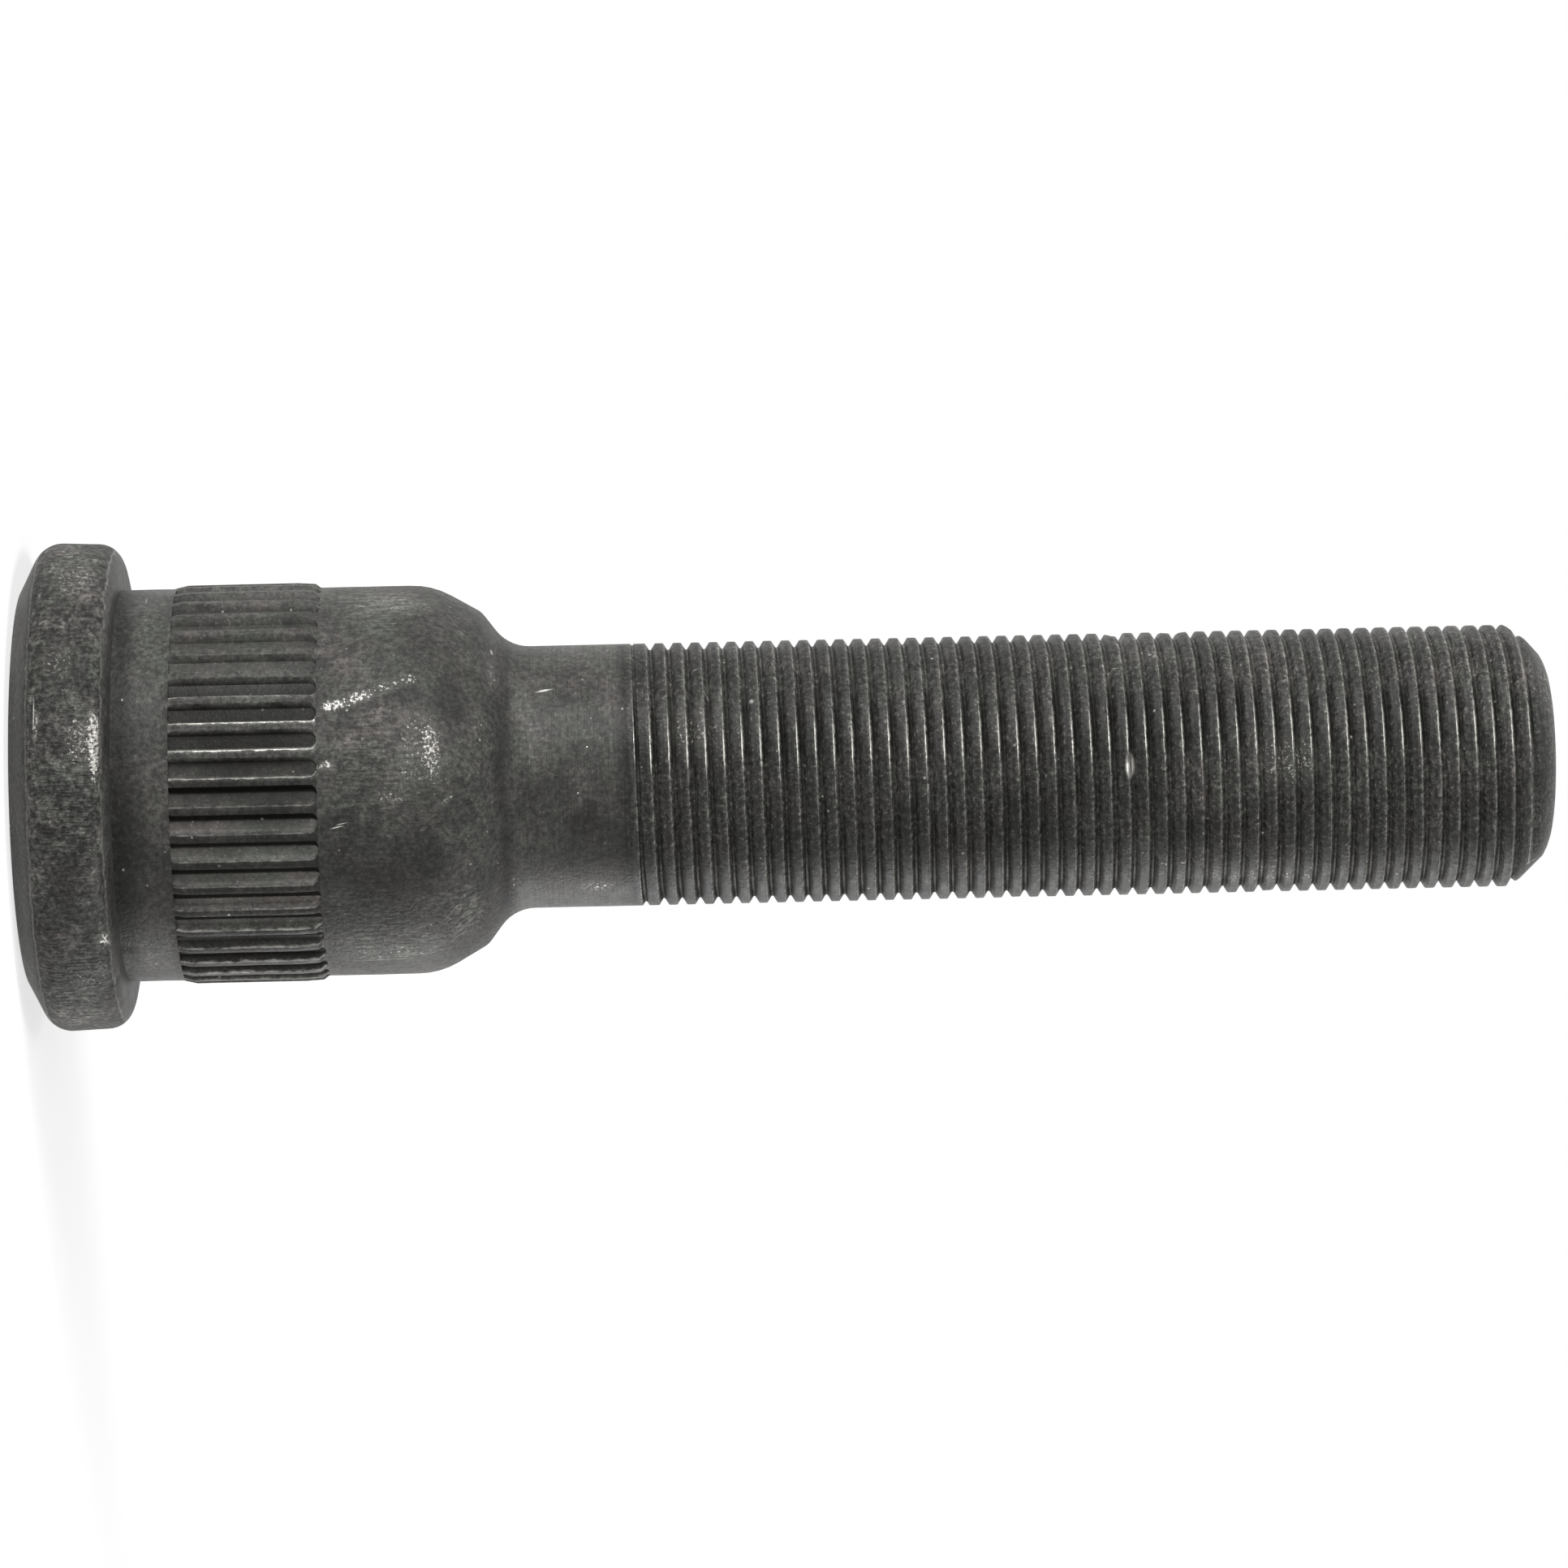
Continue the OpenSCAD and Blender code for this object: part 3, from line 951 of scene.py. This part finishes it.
class STUD_OT_press_ribs(bpy.types.Operator):
    """Press one floor and copy it round the stud"""
    bl_idname = "stud.press_ribs"
    bl_label = "Press Ribs"

    def execute(self, context):
        rows = floor_rows()
        vertices = [(r * math.cos(a), r * math.sin(a), z) for line in rows for a, r, z in line]
        across = COLUMNS_PER_RIB + 1
        faces = [
            (i * across + j, i * across + j + 1, (i + 1) * across + j + 1, (i + 1) * across + j)
            for i in range(len(rows) - 1) for j in range(COLUMNS_PER_RIB)
        ]
        obj = add_object("rib_surface", vertices, (), faces)
        self.mark(obj, rows)
        values = {"Ribs": sizes().rib_count, "Material": coat_material("body")}
        apply_tree(obj, ribs_tree(), values)
        return {"FINISHED"}

    @staticmethod
    def mark(obj, rows):
        """Marks the ribs' edges and tops, the pressed floors and where a shadow is painted beside each
        rib.
        """
        middle, deepest = COLUMNS_PER_RIB // 2, Heights().floor_r + 0.01 * MM
        for name, shares in FLOOR_MARKS.items():
            values = [
                shares.get(j, 0.0) if line[middle][1] < deepest else 0.0
                for line in rows for j in range(len(line))
            ]
            data = obj.data.attributes.new(name, "FLOAT", "POINT")
            data.data.foreach_set("value", values)


class STUD_OT_roll_thread(bpy.types.Operator):
    """Roll the helical thread groove"""
    bl_idname = "stud.roll_thread"
    bl_label = "Roll Thread"

    def execute(self, context):
        s, h = sizes(), Heights()
        last_groove = h.tip_start + s.tip_len * LAST_GROOVE_SHARE
        steps = thread_columns()
        turns = math.floor((last_groove - h.thread_start) / s.pitch * steps) / steps
        obj = add_object("thread_surface", [(0, 0, 0)])
        apply_tree(obj, thread_tree(), {
            "Crest Radius": h.thread_r, "Pitch": s.pitch, "Groove Depth": s.groove_depth,
            "Root Width": s.root_w, "Flank Angle": s.flank_angle, "Edge Round": 0.07 * MM,
            "Run Out Turns": s.run_out_turns, "Start Height": h.thread_start,
            "Start Angle": s.groove_start, "Turns": turns, "Steps Per Turn": steps,
            "Material": coat_material("thread"),
        })
        return {"FINISHED"}


# Joining and wear

SURFACES = ("head", "rib", "body", "shank", "thread", "tip")
# Open ends of the surfaces, which are closed in pairs
OPEN_ENDS = 10


def boundary_loops(bm):
    """Open edges in loops, from the lowest loop to the highest."""
    left = {e for e in bm.edges if e.is_boundary}
    loops = []
    while left:
        loop, front = set(), [left.pop()]
        while front:
            e = front.pop()
            loop.add(e)
            for v in e.verts:
                for other in v.link_edges:
                    if other in left:
                        left.discard(other)
                        front.append(other)
        loops.append(list(loop))

    def height(loop):
        """Mean height of a loop."""
        return sum(v.co.z for e in loop for v in e.verts) / (2 * len(loop))

    return sorted(loops, key=height)


class STUD_OT_join_surfaces(bpy.types.Operator):
    """Join the surfaces into one closed skin"""
    bl_idname = "stud.join_surfaces"
    bl_label = "Join Surfaces"

    def execute(self, context):
        skin = self.joined(context)
        bm = bmesh.new()
        bm.from_mesh(skin.data)
        loops = boundary_loops(bm)
        if len(loops) != OPEN_ENDS:
            raise RuntimeError(f"the surfaces have {len(loops)} open ends and not {OPEN_ENDS}")
        for low, high in zip(loops[0::2], loops[1::2]):
            bmesh.ops.bridge_loops(bm, edges=low + high)
        self.chamfer_tip(bm)
        tops = [limits[1] for limits in zone_limits().values()]
        for face in bm.faces:
            face.material_index = int(np.searchsorted(tops, face.calc_center_median().z))
        self.close(bm)
        bm.to_mesh(skin.data)
        bm.free()
        return {"FINISHED"}

    @staticmethod
    def joined(context):
        """The six surfaces as one object with the coat of every zone."""
        parts = [bpy.data.objects[name + "_surface"] for name in SURFACES]
        with context.temp_override(
            active_object=parts[0], object=parts[0],
            selected_objects=parts, selected_editable_objects=parts,
        ):
            bpy.ops.object.join()
        skin = parts[0]
        skin.name = skin.data.name = "stud_surface"
        skin.data.materials.clear()
        for zone in ZONES:
            skin.data.materials.append(coat_material(zone))
        return skin

    @staticmethod
    def close(bm):
        """Welds the skin, turns its faces outwards and makes sure that it is closed."""
        bmesh.ops.remove_doubles(bm, verts=bm.verts, dist=WELD)
        bmesh.ops.recalc_face_normals(bm, faces=bm.faces)
        if any(not e.is_manifold for e in bm.edges):
            raise RuntimeError("the joined skin has open or doubled edges")
        if bm.calc_volume(signed=True) < 0:
            bmesh.ops.reverse_faces(bm, faces=bm.faces)

    @staticmethod
    def chamfer_tip(bm):
        """Draws the thread in to the tip's chamfer, where its groove fades out."""
        s, h = sizes(), Heights()
        radii, heights = zip(*tip_section()[:-1])
        for v in bm.verts:
            if h.tip_start < v.co.z < h.tip_end - 0.05 * MM:
                most = float(np.interp(v.co.z, heights, radii))
                reach = math.hypot(v.co.x, v.co.y)
                left = max(0.0, 1 - (v.co.z - h.tip_start) / (s.tip_len * CHAMFER_THREAD))
                wanted = min(reach, most - (h.thread_r - reach) * left)
                if reach > WELD:
                    v.co.x *= wanted / reach
                    v.co.y *= wanted / reach


def spot(angle_deg, height_mm, along_mm, across_mm, amount):
    """A place on the stud: its direction, height, reach each way and strength."""
    return (math.radians(angle_deg) + VIEW_TURN, height_mm * MM, along_mm * MM, across_mm * MM, amount)


# Places where the surface is knocked in, with the depth in millimetres
NICKS = [
    spot(181, 90.4, 0.9, 3.0, 0.34), spot(178, 95.2, 1.6, 2.6, 0.22),
    spot(262, 93.6, 0.5, 1.1, 0.25), spot(2, 82.0, 0.7, 1.6, 0.3),
    spot(358, 103.0, 0.9, 1.8, 0.28), spot(240, 36.3, 0.9, 0.9, 0.1),
    spot(245, 0.6, 0.7, 3.2, 0.18), spot(325, 8.0, 0.8, 0.9, 0.15),
    spot(214, 120.5, 0.5, 0.6, -0.07), spot(225, 121.9, 0.6, 0.7, -0.08),
]

# Sides of the stud as direction, reach and full reach in degrees: where handling has rubbed the
# edges most and their highlight is painted, where shade is painted on the pressed floors, low down,
# underneath, where shade is painted on the lowest floors, where a shadow is painted beside the ribs,
# where a sheen is painted on the floors, and where the grooves' painted shade is lighter
RUBBED_AND_LIT_SIDE = (257, 20, 4)
PRESSED_SHADE_SIDE = (253, 17, 9)
LOW_SIDE = (330, 42, 14)
UNDER_SIDE = (330, 28, 10)
LOW_PRESSED_SHADE_SIDE = (338, 20, 8)
RIB_SHADOW_SIDE = (301, 42, 30)
FLOOR_SHEEN_SIDE = (301, 27, 12)
PALE_GROOVE_SIDE = (195, 50, 30)


def turn_between(a, b):
    """Smallest turn from one direction to another."""
    return np.abs((a - b + math.pi) % math.tau - math.pi)


def fade(share_left):
    """Goes smoothly from 0 to 1 as its value does."""
    t = np.clip(share_left, 0, 1)
    return t * t * (3 - 2 * t)


def near(place, direction, height, radius):
    """How close points are to a place, from 1 at its middle to 0 at its reach."""
    middle, level, along, across, _ = place
    d = np.hypot((height - level) / along, turn_between(direction, middle) * radius / across)
    return fade(1 - d)


# Waves of the forged surface in a metre, and how many times finer the second waves are
WAVE_SCALE = 240.0
FINER_WAVES = 2.7
# Smallest turn between two faces that stays a sharp edge
SHARP_ANGLE = math.radians(38)


def sunk(co, radius, direction, height):
    """How far the forging waves and the nicks lower each point towards the axis."""
    h = Heights()
    wave = np.array([noise.noise(Vector(c) * WAVE_SCALE) for c in co])
    wave += 0.5 * np.array([noise.noise(Vector(c) * WAVE_SCALE * FINER_WAVES) for c in co])
    forged = np.clip((h.cone_end[1] - height) / (4 * MM), 0, 1)
    on_side = np.clip((radius - h.thread_r) / MM, 0, 1)
    depth = bpy.context.scene.stud_finish.forge_wave * (0.5 - 0.5 * wave) * forged * on_side
    for place in NICKS:
        depth = depth + near(place, direction, height, radius) * place[4] * MM
    off_floor = np.clip(height / (0.3 * MM), 0, 1)
    return depth * off_floor * (radius > 0.5 * MM)


class STUD_OT_wear_surface(bpy.types.Operator):
    """Knock in the nicks and mark where the coat has rubbed off and where light and shade are painted
    """
    bl_idname = "stud.wear_surface"
    bl_label = "Wear Surface"

    def execute(self, context):
        mesh = bpy.data.objects["stud_surface"].data
        co = np.zeros(len(mesh.vertices) * 3)
        mesh.vertices.foreach_get("co", co)
        co = co.reshape(-1, 3)
        radius = np.hypot(co[:, 0], co[:, 1])
        direction = np.arctan2(co[:, 1], co[:, 0])
        left = radius - sunk(co, radius, direction, co[:, 2])
        pull = np.where(radius > 0, left / np.maximum(radius, 1e-9), 1.0)
        co[:, :2] *= pull[:, None]
        mesh.vertices.foreach_set("co", co.ravel())
        self.keep_wear(mesh, direction)
        mesh.shade_smooth()
        mesh.set_sharp_from_angle(angle=SHARP_ANGLE)
        return {"FINISHED"}

    @staticmethod
    def keep_wear(mesh, direction):
        """Stores how worn each point is and the painted highlight, shade, shadow and sheen it gets, by
        side.
        """
        def stored(name):
            """A float that the mesh holds, or zeros."""
            data = mesh.attributes.get(name)
            values = np.zeros(len(mesh.vertices))
            if data:
                data.data.foreach_get("value", values)
            return values

        def side(middle, reach, full=0.0):
            """1 on that side of the stud, in degrees, fading to 0 at its reach."""
            away = turn_between(direction, math.radians(middle) + VIEW_TURN)
            return fade((math.radians(reach) - away) / math.radians(reach - full))

        # Side where the shadow beside the ribs and the shade on the rib tops are painted
        rib_shadow_side, pressed = side(*RIB_SHADOW_SIDE), stored("pressed")
        # Painted shade on the pressed floors, darkest on two sides
        pressed_floor_shade = np.maximum(side(*PRESSED_SHADE_SIDE) * 0.8, side(*LOW_PRESSED_SHADE_SIDE) * 0.9)
        # The grooves' painted shade, made lighter on two sides
        rolled = stored("hollow") * (1 - 0.6 * side(*PALE_GROOVE_SIDE)) * (1 - 0.5 * rib_shadow_side)
        wear = {
            # Rubbed edges and their painted highlights, strongest on two sides
            "facing": np.maximum(side(*RUBBED_AND_LIT_SIDE), side(*UNDER_SIDE) * 0.55),
            "hollow": np.maximum(rolled, pressed * (0.12 + 0.8 * pressed_floor_shade)),
            # Painted shadow beside the ribs, deeper low down
            "rib_shadow": stored("rib_shadow") * rib_shadow_side * (1 + 1.6 * side(*LOW_SIDE)),
            # Painted shade on the rib tops on the shadowed side
            "rib_top_shade": stored("rib_top") * rib_shadow_side,
            # Painted sheen that lightens the pressed floors on one side
            "floor_sheen": pressed * side(*FLOOR_SHEEN_SIDE),
        }
        for name, values in wear.items():
            data = mesh.attributes.get(name) or mesh.attributes.new(name, "FLOAT", "POINT")
            data.data.foreach_set("value", values.astype(np.float32))


class STUD_OT_coat_stud(bpy.types.Operator):
    """Coat the stud and put it in the place of the plain part"""
    bl_idname = "stud.coat_stud"
    bl_label = "Coat Stud"

    def execute(self, context):
        for zone, limits in zone_limits().items():
            build_coat(zone, limits)
        skin = bpy.data.objects["stud_surface"]
        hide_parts(NODE)
        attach(skin, "root")
        return {"FINISHED"}


# Stage

WHITE = (1.0, 1.0, 1.0, 1.0)
# Place, width and power of each lamp: the key at the picture's top, one under the stud and one
# past its tip
LAMPS = {
    "key_lamp": ((-0.52, -0.47, 0.12), 0.4, 4.2),
    "under_lamp": ((0.59, 0.27, 0.08), 0.45, 2.7),
    "tip_lamp": ((-0.12, -0.15, 0.72), 0.3, 0.9),
}
# Distances from the stud between which the floor fades from the lit floor to plain white
SHADOW_REACH = (0.1, 0.6)


def seen_directly(tree):
    """1 for what the camera, a mirror or a clear thing shows, and 0 for plain light."""
    path = put(tree, "ShaderNodeLightPath")
    seen = path.output("Is Camera Ray") + path.output("Is Glossy Ray")
    return seen + path.output("Is Transmission Ray")


def stage_material(name, colour_value, glow):
    """A plain pale surface that shows white to the camera and keeps shadows."""
    material = bpy.data.materials.new(name)
    tree = clear_tree(material)
    diffuse = put(tree, "ShaderNodeBsdfDiffuse", (*colour_value, 1.0))
    full = distance(object_coordinates(tree)).ramp(*SHADOW_REACH, glow, 1.0)
    emission = put(tree, "ShaderNodeEmission", WHITE, seen_directly(tree) * full)
    put(tree, "ShaderNodeOutputMaterial", put(tree, "ShaderNodeAddShader", diffuse, emission))
    return material


def area_lamp(name, place, size, power, aim):
    """A soft lamp at a place, turned to its aim."""
    data = bpy.data.lights.new(name, "AREA")
    data.shape, data.size, data.energy = "DISK", size, power
    lamp = bpy.data.objects.new(name, data)
    bpy.context.scene.collection.objects.link(lamp)
    lamp.location = Matrix.Rotation(VIEW_TURN, 3, "Z") @ Vector(place)
    lamp.rotation_euler = (Vector(aim) - lamp.location).to_track_quat("-Z", "Y").to_euler()


class STUD_OT_set_stage(bpy.types.Operator):
    """Set the floor, the lamps, the room and the camera"""
    bl_idname = "stud.set_stage"
    bl_label = "Set Stage"

    def execute(self, context):
        scene = context.scene
        stage = scene.stud_stage
        scene.view_settings.view_transform = "Standard"
        self.floor(stage)
        self.room(scene, stage)
        self.lamps(stage)
        self.camera(scene, stage)
        return {"FINISHED"}

    @staticmethod
    def floor(stage):
        """A wide pale floor under the head."""
        half = 3.0
        floor = add_object(
            "floor", [(-half, -half, 0), (half, -half, 0), (half, half, 0), (-half, half, 0)],
            (), [(0, 1, 2, 3)],
        )
        floor.data.materials.append(stage_material("floor_white", stage.floor_colour, stage.floor_glow))
        floor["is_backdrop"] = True

    @staticmethod
    def room(scene, stage):
        """White to the camera and in reflections, softer as a light."""
        scene.world = bpy.data.worlds.new("studio_room")
        tree = clear_tree(scene.world)
        seen = seen_directly(tree)
        fill = calc("SUBTRACT", 1.0, seen) * stage.world_fill
        background = put(tree, "ShaderNodeBackground", WHITE, seen + fill)
        put(tree, "ShaderNodeOutputWorld", background)

    @staticmethod
    def lamps(stage):
        """The soft lamps, all turned to the middle of the stud."""
        for name, (place, size, power) in LAMPS.items():
            area_lamp(name, place, size, power, (0, 0, stage.aim_height))

    @staticmethod
    def camera(scene, stage):
        """A level camera turned on its side, so the stud lies level in the picture."""
        data = bpy.data.cameras.new("camera")
        data.lens, data.sensor_width = stage.lens, 36.0
        camera = bpy.data.objects.new("camera", data)
        scene.collection.objects.link(camera)
        place = Vector((stage.aim_side, -stage.camera_distance, stage.camera_height))
        back = (place - Vector((stage.aim_side, 0, stage.aim_height))).normalized()
        right = Vector((math.sin(stage.tilt), 0, math.cos(stage.tilt)))
        up = back.cross(right).normalized()
        right = up.cross(back)
        turn = Matrix((right, up, back)).transposed()
        stand = Matrix.Translation(place) @ turn.to_4x4()
        camera.matrix_world = Matrix.Rotation(VIEW_TURN, 4, "Z") @ stand
        data.clip_start, data.clip_end = 0.01, 20.0
        scene.camera = camera


class STUD_PT_panel(bpy.types.Panel):
    """Sizes, finish, stage and steps of the stud"""
    bl_idname = "STUD_PT_panel"
    bl_label = "Wheel Stud"
    bl_space_type = "VIEW_3D"
    bl_region_type = "UI"
    bl_category = "Stud"

    def draw(self, context):
        for group in (context.scene.stud_sizes, context.scene.stud_finish, context.scene.stud_stage):
            box = self.layout.box()
            for name in group.__annotations__:
                box.prop(group, name)
        for operator in STEPS:
            self.layout.operator(operator.bl_idname)


GROUPS = {"stud_sizes": StudSizes, "stud_finish": StudFinish, "stud_stage": StudStage}
STEPS = (
    STUD_OT_forge_head, STUD_OT_press_ribs, STUD_OT_forge_body, STUD_OT_roll_thread,
    STUD_OT_join_surfaces, STUD_OT_wear_surface, STUD_OT_coat_stud, STUD_OT_set_stage,
)


def register():
    """Registers the classes and hangs the properties on the scene."""
    for name, group in GROUPS.items():
        bpy.utils.register_class(group)
        setattr(bpy.types.Scene, name, PointerProperty(type=group))
    for cls in (*STEPS, STUD_PT_panel):
        bpy.utils.register_class(cls)


def unregister():
    """Takes the properties and the classes away again."""
    for cls in (*STEPS, STUD_PT_panel):
        bpy.utils.unregister_class(cls)
    for name, group in GROUPS.items():
        delattr(bpy.types.Scene, name)
        bpy.utils.unregister_class(group)


def main():
    """Builds the stud and its stage."""
    register()
    for step in STEPS:
        getattr(bpy.ops.stud, step.bl_idname.partition(".")[2])()


if __name__ == "__main__":
    main()
